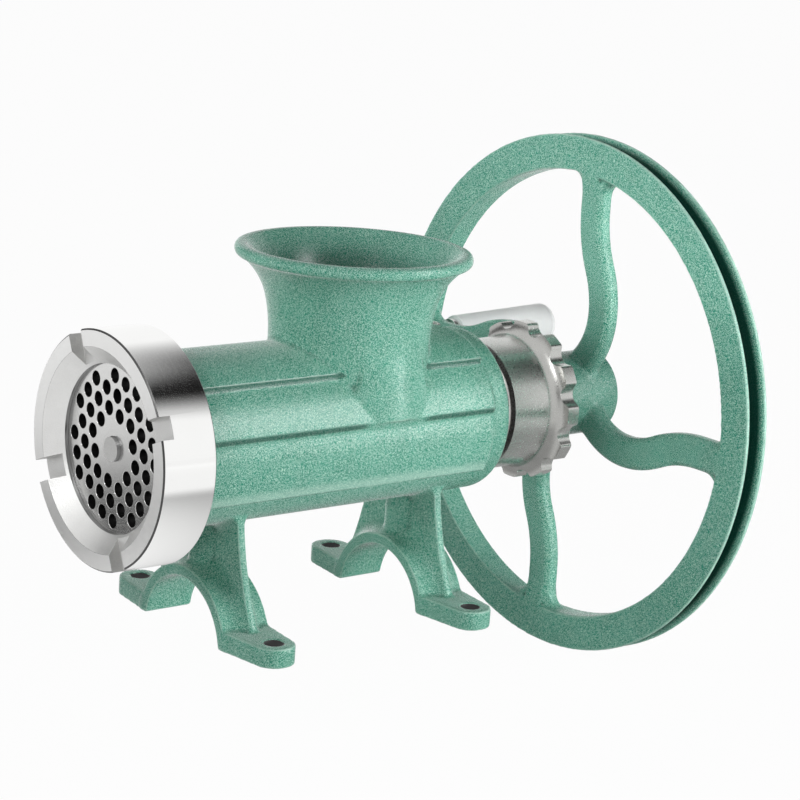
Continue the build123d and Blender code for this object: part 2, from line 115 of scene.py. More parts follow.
joint_places = {joint["name"]: joint.get("pos_m") for joint in frame["joints"]}
axis_z = joint_places["crank_turn"][2]
grip_y, grip_z = joint_places["grip_spin"][1:]
ring_front, ring_back = span("ring_nut", 0)
ring_r = half_width("ring_nut")
plate_front = span("grinding_plate", 0)[0]
plate_r = half_width("grinding_plate")
wheel_r = half_width("flywheel")
barrel_rear = span("grinder_body", 0)[1]
body_top = span("grinder_body", 2)[1]
mouth_r, mouth_start, mouth_end = front_step("grinder_body", reach=30 * mm)
spigot_r, spigot_start, spigot_end = front_step("adjusting_nut", reach=80 * mm)
print("axis height", round(axis_z / mm, 1), "mm, ring radius", round(ring_r / mm, 1), "mm")
print("mouth thread", round((mouth_end - mouth_start) / mm, 1), "mm long, nut gap",
      round((spigot_end - barrel_rear) / mm, 1), "mm")

# %% [markdown]
# ## Bands, hopper and belt groove
# The barrel's side is cast in bands that overlap like boards, each with a lip along X. Those lips are long
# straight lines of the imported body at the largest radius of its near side, so they can be found by their
# length and radius. The wheel's rim has two lands with the belt groove between them, and the lands are where
# the wheel is widest.

# %% Measure the bands, the hopper and the groove
shortest_line = 35 * mm
line_drift = 0.02 * mm
steepest_line = 0.85
lip_spread = 0.2 * mm
rim_depth = 2 * mm
least_groove = 2 * mm


def barrel_lines(least):
    """Angle above level, radius and X span of the body's long lines on the barrel's near side."""
    mesh = nodes["grinder_body"].data
    lines = []
    for edge in mesh.edges:
        a, b = sorted((mesh.vertices[i].co for i in edge.vertices), key=lambda point: point.x)
        if b.x - a.x > least and math.hypot(b.y - a.y, b.z - a.z) < line_drift and a.y < 0:
            lines.append((round(math.atan2(a.z - axis_z, -a.y), 3), radius_of(a), a.x, b.x))
    return lines


def outward_share(face):
    """How far a face looks away from the barrel's axis, from -1 to 1."""
    return face.normal.dot(Vector((0, face.center.y, face.center.z - axis_z)).normalized())


near_lines = [line for line in barrel_lines(shortest_line) if abs(line[0]) < steepest_line]
lip_r = max(line[1] for line in near_lines)
lip_lines = [line for line in near_lines if line[1] > lip_r - lip_spread]
lip_angles = sorted({line[0] for line in lip_lines})
bands_start = min(line[2] for line in lip_lines)
bands_end = max(line[3] for line in lip_lines)
hopper_rim = [point.x for point in points_of("grinder_body") if point.z > body_top - rim_depth]
hopper_x = (min(hopper_rim) + max(hopper_rim)) / 2
print("lips of the barrel's bands", [round(math.degrees(angle), 1) for angle in lip_angles],
      "degrees above level, hopper's middle", round(hopper_x / mm, 1), "mm")

on_rim = [point.x for point in points_of("flywheel") if radius_of(point) > wheel_r - slack]
rim_stations = sorted({round(x, 4) for x in on_rim})
groove_front, groove_back = rim_stations[1], rim_stations[-2]
groove_radii = [
    radius_of(face.center) for face in nodes["flywheel"].data.polygons
    if groove_front < face.center.x < groove_back and outward_share(face) > 0.98
]
groove_r = max(r for r in groove_radii if r < wheel_r - least_groove)
print("belt groove", round((wheel_r - groove_r) / mm, 1), "mm deep between the stations",
      [round(x / mm, 1) for x in rim_stations])

# %% [markdown]
# ## Camera
# The photograph was taken with a long lens, a little above the barrel and from the mouth's side, with
# the camera rolled slightly. The camera's three axes are worked out from those angles.

# %% Set the camera
camera_place = Vector((-0.8249, -1.0828, 0.4479))
camera_azimuth = math.radians(-39.224)
camera_elevation = math.radians(13.444)
camera_roll = math.radians(3.927)
focal_length_px = 2572.9
photo_width_px = 800
sensor_width_mm = 36.0

back = Vector(
    (
        math.sin(camera_azimuth) * math.cos(camera_elevation),
        -math.cos(camera_azimuth) * math.cos(camera_elevation),
        math.sin(camera_elevation),
    )
)
level_right = (-back).cross(Vector((0, 0, 1))).normalized()
level_up = back.cross(level_right)
right = math.cos(camera_roll) * level_right + math.sin(camera_roll) * level_up
up = math.cos(camera_roll) * level_up - math.sin(camera_roll) * level_right

camera = bpy.data.objects.new("camera", bpy.data.cameras.new("camera"))
scene.collection.objects.link(camera)
turn = Matrix((right, up, back)).transposed().to_4x4()
camera.matrix_world = Matrix.Translation(camera_place) @ turn
camera.data.sensor_width = sensor_width_mm
camera.data.lens = sensor_width_mm * focal_length_px / photo_width_px
camera.data.clip_start = 0.05
scene.camera = camera
print("lens", round(camera.data.lens, 1), "mm")

# %% [markdown]
# ## Room
# A product photograph is taken in a white room. Camera and mirror rays see that room at full white,
# while the light that the room throws on the object stays low, so that the lamps shape it.

# %% Build the room
room_light = 0.06


def math_node(tree, operation, first, second=0.0):
    """A maths node whose inputs are sockets or numbers."""
    node = tree.nodes.new("ShaderNodeMath")
    node.operation = operation
    for socket, value in zip(node.inputs, (first, second)):
        if isinstance(value, (int, float)):
            socket.default_value = value
        else:
            tree.links.new(value, socket)
    return node.outputs[0]


def seen_directly(tree):
    """One where a ray comes from the camera, a mirror or glass, and zero for scattered light."""
    path = tree.nodes.new("ShaderNodeLightPath")
    mirrored = math_node(tree, "MAXIMUM", path.outputs["Is Glossy Ray"], path.outputs["Is Transmission Ray"])
    return math_node(tree, "MAXIMUM", path.outputs["Is Camera Ray"], mirrored)


world = bpy.data.worlds.new("white_room")
scene.world = world
world.use_nodes = True
sky = world.node_tree.nodes["Background"]
strength = world.node_tree.nodes.new("ShaderNodeMapRange")
strength.inputs["To Min"].default_value = room_light
strength.inputs["To Max"].default_value = 1.0
world.node_tree.links.new(seen_directly(world.node_tree), strength.inputs["Value"])
world.node_tree.links.new(strength.outputs["Result"], sky.inputs["Strength"])
sky.inputs["Color"].default_value = (1, 1, 1, 1)
print("room light on dull surfaces", room_light, "of what the camera sees")

# %% [markdown]
# ## Floor
# The floor is treated like the room: almost white to the eye and in mirrors, with just enough of its own
# shade left for a contact shadow. A plain card that glows for those rays only is enough for that.

# %% Lay the floor
floor_tone = 0.85
floor_glow = 0.97
floor_drop = 1.5 * mm
floor_half = 6.0


def make_material(name):
    """A new material with its node tree and Principled shader."""
    material = bpy.data.materials.new(name)
    material.use_nodes = True
    tree = material.node_tree
    return material, tree, tree.nodes["Principled BSDF"]


def mix_shaders(tree, share, first, second):
    """Mix two shaders by a share and send the result to the material's output."""
    mix = tree.nodes.new("ShaderNodeMixShader")
    tree.links.new(share, mix.inputs["Fac"])
    tree.links.new(first, mix.inputs[1])
    tree.links.new(second, mix.inputs[2])
    tree.links.new(mix.outputs["Shader"], tree.nodes["Material Output"].inputs["Surface"])


def flat_card(name, half_x, half_y):
    """A flat rectangle about the origin that belongs to the studio."""
    mesh = bpy.data.meshes.new(name)
    bm = bmesh.new()
    size = Matrix.Diagonal((half_x, half_y, 1, 1))
    bmesh.ops.create_grid(bm, x_segments=1, y_segments=1, size=1, matrix=size)
    bm.to_mesh(mesh)
    bm.free()
    card = bpy.data.objects.new(name, mesh)
    scene.collection.objects.link(card)
    return card


floor_z = cad_box[0][2] - floor_drop
floor = flat_card("floor", floor_half, floor_half)
floor.matrix_world = Matrix.Translation((0, 0, floor_z))
floor_paint, paint_tree, paint_shader = make_material("pale_floor")
paint_shader.inputs["Base Color"].default_value = (floor_tone, floor_tone, floor_tone, 1)
paint_shader.inputs["Roughness"].default_value = 0.9
paint_shader.inputs["Specular IOR Level"].default_value = 0.0
glow = paint_tree.nodes.new("ShaderNodeEmission")
glow_share = math_node(paint_tree, "MULTIPLY", seen_directly(paint_tree), floor_glow)
mix_shaders(paint_tree, glow_share, paint_shader.outputs["BSDF"], glow.outputs["Emission"])
floor.data.materials.append(floor_paint)
print("floor at", round(floor_z / mm, 1), "mm")

# %% [markdown]
# ## Lamps
# The key is a large soft box, low and to the right, so the barrel's side is bright and its top darker.
# A box on the left, above the mouth, lights what faces up and left, a low fill lights the legs' fronts,
# and two narrow beams light the wheel's top and its near side. A box behind lights the far side,
# but not the floor, where it would draw a line.
# The two strips only make the enamel's highlights: they are linked to the two painted castings and seen in
# their gloss.

# %% Place the lamps
def aim(thing, place, target):
    """Put a lamp or card at a place, with its -Z axis towards the target."""
    direction = Vector(target) - Vector(place)
    thing.matrix_world = Matrix.Translation(place) @ direction.to_track_quat("-Z", "Y").to_matrix().to_4x4()


glossy_castings = bpy.data.collections.new("glossy_castings")
off_floor = bpy.data.collections.new("off_floor")
off_floor.objects.link(floor)
off_floor.collection_objects[0].light_linking.link_state = "EXCLUDE"
receivers = {"strip_box": glossy_castings, "low_strip": glossy_castings, "rear_box": off_floor}

middle = Vector((0.02, 0.0, 0.11))
wheel_top = Vector((0.18, 0.0, 0.45))
rim_side = Vector((0.19, -0.17, 0.20))
# name, place, target, size, power in watts, spread in degrees, lights dull surfaces, shows in gloss
soft_boxes = [
    ("key_box", (0.90, -1.40, 0.28), middle, (0.9, 0.5), 22.5, 180, True, False),
    ("strip_box", (0.72, -0.88, 0.74), middle, (0.34, 0.80), 14.0, 180, False, True),
    ("low_strip", (0.80, -1.02, 0.10), middle, (0.16, 0.25), 3.0, 180, False, True),
    ("mouth_box", (-1.10, -0.40, 0.95), middle, (0.4, 0.4), 4.2, 180, True, True),
    ("fill_box", (-1.30, -0.95, 0.25), middle, (0.5, 0.4), 4.6, 180, True, False),
    ("wheel_box", (-0.90, 0.70, 0.60), wheel_top, (0.5, 0.5), 1.0, 48, True, False),
    ("rear_box", (0.60, 1.50, 0.30), middle, (0.9, 0.5), 17.0, 180, True, False),
    ("rim_box", (-0.55, -1.30, 0.55), rim_side, (0.2, 0.2), 0.13, 20, True, False),
]
for name, place, target, size, power, spread, lights, mirrored in soft_boxes:
    lamp = bpy.data.lights.new(name, "AREA")
    lamp.shape = "RECTANGLE"
    lamp.size, lamp.size_y = size
    lamp.energy = power
    lamp.spread = math.radians(spread)
    lamp_object = bpy.data.objects.new(name, lamp)
    scene.collection.objects.link(lamp_object)
    aim(lamp_object, place, target)
    lamp_object.visible_camera = False
    if name in receivers:
        lamp_object.light_linking.receiver_collection = receivers[name]
    lamp_object.visible_diffuse = lights
    lamp_object.visible_glossy = mirrored
print("lamps:", len(soft_boxes))

# %% [markdown]
# ## Dark cards
# Polished metal needs something dark to mirror, so black cards that only reflections can see stand
# around the grinder and lie under it. Their edges fade out, because a hard edge would draw a line across
# the ring.

# %% Place the cards
def ramped(tree, value, low, high, to_low=0.0, to_high=1.0):
    """Map a value from low..high to another range, with a soft start and end."""
    ramp = tree.nodes.new("ShaderNodeMapRange")
    ramp.interpolation_type = "SMOOTHSTEP"
    for socket, number in zip(("From Min", "From Max", "To Min", "To Max"), (low, high, to_low, to_high)):
        ramp.inputs[socket].default_value = number
    tree.links.new(value, ramp.inputs["Value"])
    return ramp.outputs["Result"]


def object_axes(tree):
    """The Object coordinates as three outputs, X, Y and Z."""
    coords = tree.nodes.new("ShaderNodeTexCoord")
    parts = tree.nodes.new("ShaderNodeSeparateXYZ")
    tree.links.new(coords.outputs["Object"], parts.inputs[0])
    return parts.outputs


def dark_card(name, place, target, half, fade, darkness):
    """A black card for reflections, fading by its own share at the low X, high X, low Y and high Y edge."""
    card = flat_card(name, *half)
    aim(card, place, target)
    paint, tree, _ = make_material(name)
    axes = object_axes(tree)
    share = darkness
    for axis, reach, low, high in (("X", half[0], fade[0], fade[1]), ("Y", half[1], fade[2], fade[3])):
        rise = ramped(tree, axes[axis], -reach, -reach * (1 - 2 * low))
        fall = ramped(tree, axes[axis], reach, reach * (1 - 2 * high))
        share = math_node(tree, "MULTIPLY", math_node(tree, "MULTIPLY", rise, fall), share)
    clear = tree.nodes.new("ShaderNodeBsdfTransparent")
    black = tree.nodes.new("ShaderNodeEmission")
    black.inputs["Strength"].default_value = 0.0
    mix_shaders(tree, share, clear.outputs["BSDF"], black.outputs["Emission"])
    card.data.materials.append(paint)
    card.visible_camera = False
    card.visible_diffuse = False
    card.visible_shadow = False


down = Vector((0, 0, -1))
forward = Vector((0, -1, 0))
slanted = Vector((-1.24, 0.10, -1.54))
over_place = Vector((1.30, -0.25, 1.61))
low_place = Vector((-0.42, 0.375, floor_z + 2 * mm))
under_place = Vector((0.15, -0.03, floor_z + 1 * mm))
back_place = Vector((-0.80, 1.60, 0.65))
left_place = Vector((-1.70, -1.10, 0.60))
even_fade = (0.25, 0.25, 0.25, 0.25)
dark_cards = [
    ("overhead_card", over_place, over_place + slanted, (1.7, 0.685), (0.32, 0.41, 0.2, 0.27), 0.99),
    ("low_card", low_place, low_place + down, (0.32, 0.145), (0.2, 0.2, 0.05, 0.60), 0.98),
    ("under_card", under_place, under_place + down, (0.25, 0.30), (0.30, 0.15, 0.15, 0.2), 0.5),
    ("back_card", back_place, back_place + forward, (1.2, 0.6), even_fade, 0.9),
    ("left_card", left_place, middle, (0.8, 0.5), even_fade, 0.9),
]
for card_values in dark_cards:
    dark_card(*card_values)
print("cards:", len(dark_cards))

# %% [markdown]
# ## Speckle, grain and lathe rings
# Three effects serve many finishes. Speckle is the hammered paint's fine pale flecks with a slow drift in
# tone. Grain is the fine unevenness of cast or plated metal. Turning is the set of fine rings that a lathe
# or a polishing wheel leaves around an axis. Each is a node group, so that a material can set its own scale.

# %% Make the speckle, the grain and the rings
def new_group(name, inputs, outputs):
    """A node group with float inputs and outputs, and its two end nodes."""
    group = bpy.data.node_groups.new(name, "ShaderNodeTree")
    for socket, value in inputs:
        made = group.interface.new_socket(socket, in_out="INPUT", socket_type="NodeSocketFloat")
        made.default_value = value
    for socket in outputs:
        group.interface.new_socket(socket, in_out="OUTPUT", socket_type="NodeSocketFloat")
    return group, group.nodes.new("NodeGroupInput"), group.nodes.new("NodeGroupOutput")


def noise(group, inlet, detail, roughness=0.5, factor=1.0, vector=None):
    """Noise on Object coordinates or another vector, with its scale taken from the group's Scale."""
    texture = group.nodes.new("ShaderNodeTexNoise")
    texture.inputs["Detail"].default_value = detail
    texture.inputs["Roughness"].default_value = roughness
    scale = math_node(group, "MULTIPLY", inlet.outputs["Scale"], factor)
    group.links.new(scale, texture.inputs["Scale"])
    if vector is None:
        vector = group.nodes.new("ShaderNodeTexCoord").outputs["Object"]
    group.links.new(vector, texture.inputs["Vector"])
    return texture.outputs["Fac"]


def distance(tree, across, above):
    """How far a point lies from an axis, from its two offsets."""
    squares = [math_node(tree, "POWER", offset, 2.0) for offset in (across, above)]
    return math_node(tree, "SQRT", math_node(tree, "ADD", *squares))


speckle, inlet, outlet = new_group("speckle", [("Scale", 1700.0)], ["Fleck", "Drift", "Dimple", "Wave"])
flecks = noise(speckle, inlet, 1.0, 0.6)
slow_drift = noise(speckle, inlet, 2.0, factor=0.03)
speckle.links.new(ramped(speckle, flecks, 0.45, 0.61), outlet.inputs["Fleck"])
speckle.links.new(ramped(speckle, slow_drift, 0.3, 0.7), outlet.inputs["Drift"])
speckle.links.new(noise(speckle, inlet, 1.0, factor=0.8), outlet.inputs["Dimple"])
speckle.links.new(noise(speckle, inlet, 2.0, factor=0.25), outlet.inputs["Wave"])

grain, inlet, outlet = new_group("grain", [("Scale", 1200.0)], ["Fine", "Coarse"])
grain.links.new(noise(grain, inlet, 2.0, 0.6), outlet.inputs["Fine"])
grain.links.new(noise(grain, inlet, 2.0, factor=0.08), outlet.inputs["Coarse"])

turning, inlet, outlet = new_group("turning", [("Scale", 1500.0), ("Side", 0.0), ("Height", 0.0)], ["Line"])
axes = object_axes(turning)
across = math_node(turning, "SUBTRACT", axes["Y"], inlet.outputs["Side"])
above = math_node(turning, "SUBTRACT", axes["Z"], inlet.outputs["Height"])
rings = turning.nodes.new("ShaderNodeCombineXYZ")
turning.links.new(distance(turning, across, above), rings.inputs["X"])
turning.links.new(axes["X"], rings.inputs["Y"])
turning.links.new(noise(turning, inlet, 2.0, vector=rings.outputs[0]), outlet.inputs["Line"])
print("groups:", [group.name for group in bpy.data.node_groups])

# %% [markdown]
# ## Lips of the bands
# On the barrel the enamel is painted dark under each lip, where the band below begins, as a painted shadow,
# and pale on the lowest lip's roll, as a painted highlight. A point's angle about the barrel's axis tells how
# far it is from each lip, so this group works both masks out from the angle. They stop where the bands end,
# and the painted shadow also stops under the hopper.

# %% Make the lips
degree = math.radians(1)
shade_start, shade_full = -3.6 * degree, -2.0 * degree
shade_fade, shade_end = -0.4 * degree, 1.6 * degree
roll_full, roll_fade, roll_end = 1.5 * degree, 4 * degree, 10 * degree

lips, inlet, outlet = new_group("lips", [("Height", 0.0)], ["Shade", "RollHighlight"])
axes = object_axes(lips)
above = math_node(lips, "SUBTRACT", axes["Z"], inlet.outputs["Height"])
near = math_node(lips, "MULTIPLY", axes["Y"], -1.0)
angle = math_node(lips, "ARCTAN2", above, near)
low = ramped(lips, distance(lips, near, above), lip_r + 1.2 * mm, lip_r + 0.4 * mm)
ahead = ramped(lips, axes["X"], bands_end, bands_end - 1 * mm)
behind = ramped(lips, axes["X"], bands_start, bands_start + 2 * mm)
on_bands = math_node(lips, "MULTIPLY", low, math_node(lips, "MULTIPLY", ahead, behind))
past = math_node(lips, "ABSOLUTE", math_node(lips, "SUBTRACT", axes["X"], hopper_x))
beside_hopper = ramped(lips, past, 16 * mm, 24 * mm)
# the shade output is a painted shadow under each lip
shade = 0.0
for lip_angle in lip_angles:
    rise = ramped(lips, angle, lip_angle + shade_start, lip_angle + shade_full)
    fall = ramped(lips, angle, lip_angle + shade_end, lip_angle + shade_fade)
    shade = math_node(lips, "MAXIMUM", shade, math_node(lips, "MULTIPLY", rise, fall))
shade = math_node(lips, "MULTIPLY", math_node(lips, "MULTIPLY", shade, on_bands), beside_hopper)
lips.links.new(shade, outlet.inputs["Shade"])
# the roll output is a painted highlight along the lowest lip
rise = ramped(lips, angle, lip_angles[0], lip_angles[0] + roll_full)
fall = ramped(lips, angle, lip_angles[0] + roll_end, lip_angles[0] + roll_fade)
roll = math_node(lips, "MULTIPLY", rise, fall)
lips.links.new(math_node(lips, "MULTIPLY", roll, on_bands), outlet.inputs["RollHighlight"])
print("shaded lips:", len(lip_angles))

# %% [markdown]
# ## Belt groove and hub in painted shade
# The belt groove and the wheel near its hub are darker, painted shade where little light reaches. This group
# says how deep a point lies in the groove, and how near the hub it is, from its radius and its station.

# %% Make the groove
dark_from, dark_full = 0.5 * mm, 4.5 * mm
wall_fade = 0.4 * mm
# the painted hub shade is full inside the first radius and gone beyond the second
hub_shade_full_r, hub_shade_end_r = 28 * mm, 85 * mm
hub_gap = 10 * mm

groove, inlet, outlet = new_group("groove", [("Height", 0.0)], ["Depth", "HubShade"])
axes = object_axes(groove)
above = math_node(groove, "SUBTRACT", axes["Z"], inlet.outputs["Height"])
r = distance(groove, axes["Y"], above)
sunk = ramped(groove, r, wheel_r - dark_from, wheel_r - dark_full)
outside = ramped(groove, r, groove_r - 3 * mm, groove_r - 2 * mm)
after = ramped(groove, axes["X"], groove_front, groove_front + wall_fade)
before = ramped(groove, axes["X"], groove_back, groove_back - wall_fade)
between = math_node(groove, "MULTIPLY", after, before)
in_groove = math_node(groove, "MULTIPLY", math_node(groove, "MULTIPLY", sunk, outside), between)
groove.links.new(in_groove, outlet.inputs["Depth"])
past_barrel = ramped(groove, axes["X"], barrel_rear + hub_gap, barrel_rear + hub_gap + 1 * mm)
near_hub = math_node(groove, "MULTIPLY", ramped(groove, r, hub_shade_end_r, hub_shade_full_r), past_barrel)
groove.links.new(near_hub, outlet.inputs["HubShade"])
print("painted_hub_shade reaches", round(hub_shade_end_r / wheel_r, 2), "of the wheel's radius")

# %% [markdown]
# ## Hammered enamel
# The castings carry a hammered green enamel: a saturated green with pale flecks under half a millimetre
# across, glossy, and slightly wavy like the cast skin under it. Each casting carries its curvature as an
# attribute, measured further down, from which the enamel takes a painted highlight on its edges and painted
# shade in its hollows; the lips, the belt groove and the hub take the same painted shade.

# %% Mix the enamel
# curvatures per metre where the painted shade in hollows and the painted highlight on crests start and are full
painted_shade_from, painted_shade_full = 90, 360
crest_from, crest_full = -140, -430


def place_group(tree, group, **values):
    """Add a node group to a material with its own input values."""
    node = tree.nodes.new("ShaderNodeGroup")
    node.node_tree = group
    for socket, value in values.items():
        node.inputs[socket].default_value = value
    return node


def colour_mix(tree, share, low, high):
    """Mix two colours, given as values or sockets, by a share that changes over the surface."""
    mix = tree.nodes.new("ShaderNodeMix")
    mix.data_type = "RGBA"
    tree.links.new(share, mix.inputs["Factor"])
    for target, colour in ((mix.inputs[6], low), (mix.inputs[7], high)):
        if isinstance(colour, tuple):
            target.default_value = (*colour, 1)
        else:
            tree.links.new(colour, target)
    return mix.outputs[2]


def add_bump(tree, shader, *layers):
    """Feed layers of (height, depth in metres) to the shader's normal, one bump on another."""
    normal = None
    for height, depth in layers:
        bump = tree.nodes.new("ShaderNodeBump")
        bump.inputs["Distance"].default_value = depth
        tree.links.new(height, bump.inputs["Height"])
        if normal:
            tree.links.new(normal, bump.inputs["Normal"])
        normal = bump.outputs["Normal"]
    tree.links.new(normal, shader.inputs["Normal"])


def enamel(name, dark, light, fleck, painted_shade, edge):
    """A speckled enamel: drifting ground colour, flecks, painted shade in hollows and painted highlights on edges.
    """
    material, tree, shader = make_material(name)
    spots = place_group(tree, speckle, Scale=2600.0)
    bend = tree.nodes.new("ShaderNodeAttribute")
    bend.attribute_name = "hollow"
    bands = place_group(tree, lips, Height=axis_z)
    wheel = place_group(tree, groove, Height=axis_z)
    # painted shade from hollows, lip shadows, the groove and the hub; painted highlight from crests and the lowest
    # lip's roll
    hollow = ramped(tree, bend.outputs["Fac"], painted_shade_from, painted_shade_full, 0, 0.85)
    painted_lip_shadow = math_node(tree, "MULTIPLY", bands.outputs["Shade"], 0.65)
    painted_hub_shade_share = math_node(tree, "MULTIPLY", wheel.outputs["HubShade"], 0.5)
    painted_shade_share = math_node(tree, "MAXIMUM", math_node(tree, "MAXIMUM", hollow, painted_lip_shadow), wheel.outputs["Depth"])
    painted_shade_share = math_node(tree, "MAXIMUM", painted_shade_share, painted_hub_shade_share)
    painted_crest_highlight = ramped(tree, bend.outputs["Fac"], crest_from, crest_full, 0, 0.62)
    painted_highlight_share = math_node(tree, "MAXIMUM", painted_crest_highlight, math_node(tree, "MULTIPLY", bands.outputs["RollHighlight"], 0.5))
    ground = colour_mix(tree, spots.outputs["Drift"], dark, light)
    speckled = colour_mix(tree, spots.outputs["Fleck"], ground, fleck)
    # the pale edge colour is a painted highlight, and the dark colour mixed in last is painted shade
    with_painted_highlight = colour_mix(tree, painted_highlight_share, speckled, edge)
    tree.links.new(colour_mix(tree, painted_shade_share, with_painted_highlight, painted_shade), shader.inputs["Base Color"])
    tree.links.new(ramped(tree, spots.outputs["Fleck"], 0, 1, 0.18, 0.30), shader.inputs["Roughness"])
    shader.inputs["Specular IOR Level"].default_value = 0.20
    add_bump(tree, shader, (spots.outputs["Wave"], 0.16 * mm), (spots.outputs["Dimple"], 0.05 * mm))
    return material


green_enamel = enamel(
    "green_enamel",
    dark=(0.006, 0.205, 0.130),
    light=(0.014, 0.245, 0.160),
    fleck=(0.44, 0.70, 0.59),
    # the last two colours are the painted shade and the painted highlight
    painted_shade=(0.004, 0.036, 0.025),
    edge=(0.46, 0.68, 0.58),
)
print("enamel pools above a curvature of", painted_shade_from, "per metre")

# %% [markdown]
# ## Metals
# The ring nut is turned and polished outside, with a rough cast recess. The plate is ground, the
# adjusting nut is a satin plated casting, and the fasteners are bright zinc. All use the grain group at
# different scales, and differ in colour, roughness and depth. Turned pieces add the lathe's rings. The fibre
# washer and the pale grip vary in the same way, so the same function makes them, without a metal's shine.

# %% Make the metals
ring_scale = 2600.0


def metal(name, colour, roughness, scale, spread=0.06, tint=0.06, depth=0.0, shine=1.0, lathe=None):
    """A metal whose roughness, tone and relief vary with the grain, and with turned rings if given."""
    material, tree, shader = make_material(name)
    shader.inputs["Metallic"].default_value = shine
    shades = place_group(tree, grain, Scale=scale)
    darker = tuple(channel * (1 - tint) for channel in colour)
    tree.links.new(colour_mix(tree, shades.outputs["Coarse"], darker, colour), shader.inputs["Base Color"])
    low, high = max(roughness - spread, 0.03), roughness + spread
    fine = shades.outputs["Fine"]
    layers = [(fine, depth)] if depth else []
    if lathe:
        side, height, cut = lathe
        lines = place_group(tree, turning, Scale=ring_scale, Side=side, Height=height).outputs["Line"]
        fine = math_node(tree, "MULTIPLY", math_node(tree, "ADD", fine, lines), 0.5)
        layers.append((lines, cut))
    tree.links.new(ramped(tree, fine, 0.3, 0.7, low, high), shader.inputs["Roughness"])
    if layers:
        add_bump(tree, shader, *layers)
    return material


# a lathe's axis as its Y and Z, and the depth of its rings
polish = (0.0, axis_z, 0.0003 * mm)
grinding = (0.0, axis_z, 0.0006 * mm)
boring = (0.0, axis_z, 0.0015 * mm)
on_grip = (grip_y, grip_z, 0.0015 * mm)
polished_steel = metal("polished_steel", (0.93, 0.93, 0.92), 0.10, 900.0, 0.03, 0.02, lathe=polish)
turned_steel = metal("turned_steel", (0.88, 0.88, 0.87), 0.36, 1500.0, 0.06, 0.05, 0.03 * mm)
cast_recess = metal("cast_recess", (0.76, 0.76, 0.75), 0.45, 1400.0, 0.10, 0.10, 0.12 * mm)
slot_wall = metal("slot_wall", (0.54, 0.54, 0.53), 0.50, 1400.0, 0.10, 0.15, 0.20 * mm)
# darker metal, painted as shade on the ring's lip and bore and round the stud's pin
painted_bore_shade = metal("painted_bore_shade", (0.28, 0.28, 0.28), 0.35, 1400.0)
# near-black metal, painted as a dark reflection along the ring's chamfers
painted_edge_reflection = metal("painted_edge_reflection", (0.09, 0.09, 0.09), 0.40, 1500.0)
ground_steel = metal("ground_steel", (0.72, 0.72, 0.71), 0.22, 1800.0, 0.04, 0.06, lathe=grinding)
satin_plate = metal("satin_plate", (0.62, 0.62, 0.60), 0.29, 900.0, 0.03, 0.14)
cast_flare = metal("cast_flare", (0.54, 0.54, 0.52), 0.30, 900.0, 0.04, 0.25, 0.03 * mm)
tool_steel = metal("tool_steel", (0.42, 0.42, 0.42), 0.32, 1200.0, 0.08, 0.12, 0.03 * mm)
tinned_iron = metal("tinned_iron", (0.62, 0.62, 0.60), 0.42, 700.0, 0.12, 0.18, 0.12 * mm)
bright_zinc = metal("bright_zinc", (0.74, 0.74, 0.72), 0.26, 1300.0, 0.07, 0.08, 0.01 * mm)
spindle_steel = metal("spindle_steel", (0.74, 0.74, 0.72), 0.24, 1300.0, 0.06, 0.08, lathe=on_grip)
bush_bronze = metal("bush_bronze", (0.60, 0.42, 0.20), 0.30, 1200.0, 0.08, 0.10, lathe=boring)
# near-black, painted as the shade in the gap between barrel and nut
thread_painted_shade = metal("thread_painted_shade", (0.06, 0.06, 0.06), 0.45, 1200.0, 0.10, 0.20, 0.05 * mm)
# near-black, painted as the shade inside drilled holes
painted_hole_shade = metal("painted_hole_shade", (0.05, 0.05, 0.05), 0.50, 1200.0, 0.08, 0.20, 0.03 * mm)
pin_end = metal("pin_end", (0.66, 0.66, 0.65), 0.50, 900.0, 0.12, 0.15, 0.15 * mm)
fibre = metal("fibre", (0.30, 0.15, 0.09), 0.75, 900.0, 0.10, 0.25, 0.1 * mm, shine=0.0)
pale_grip = metal("pale_grip", (0.78, 0.79, 0.79), 0.34, 1500.0, 0.06, 0.05, 0.02 * mm, shine=0.0)
print("materials:", len(bpy.data.materials))

# %% [markdown]
# ## Copies of imported pieces
# A imported piece is a plain mesh with crisp edges. Most pieces get a copy that is reshaped and then takes the
# imported piece's place: it rides on the same body, and the imported piece is hidden. Modifiers do most of the
# reshaping and are baked in, so that the copy ends as a plain mesh again.

# %% Write the copying steps
def copy_of(node, piece_name):
    """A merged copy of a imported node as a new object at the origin."""
    mesh = nodes[node].data.copy()
    mesh.name = piece_name
    mesh.materials.clear()
    bm = bmesh.new()
    bm.from_mesh(mesh)
    bmesh.ops.remove_doubles(bm, verts=bm.verts, dist=0.01 * mm)
    bm.to_mesh(mesh)
    bm.free()
    if mesh.has_custom_normals:
        mesh.normals_split_custom_set([(0, 0, 0)] * len(mesh.loops))
    piece = bpy.data.objects.new(piece_name, mesh)
    scene.collection.objects.link(piece)
    return piece


def bake_modifiers(piece):
    """Replace a piece's mesh by what its modifiers make of it."""
    graph = bpy.context.evaluated_depsgraph_get()
    mesh = bpy.data.meshes.new_from_object(piece.evaluated_get(graph))
    piece.modifiers.clear()
    piece.data = mesh


def settle(piece, body, node, materials):
    """Give a piece its materials and body, and hide the node it replaces."""
    piece.data.materials.clear()
    for material in materials:
        piece.data.materials.append(material)
    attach(piece, body)
    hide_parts(node)


# %% [markdown]
# ## Curvature
# The enamel has to know where the cast skin is hollow and where it is crested. Each mesh edge that leaves a
# point bends towards the point's normal in a hollow and away from it on a crest, so the mean of those bends
# is the point's curvature. A few rounds of averaging with the neighbours even it out.

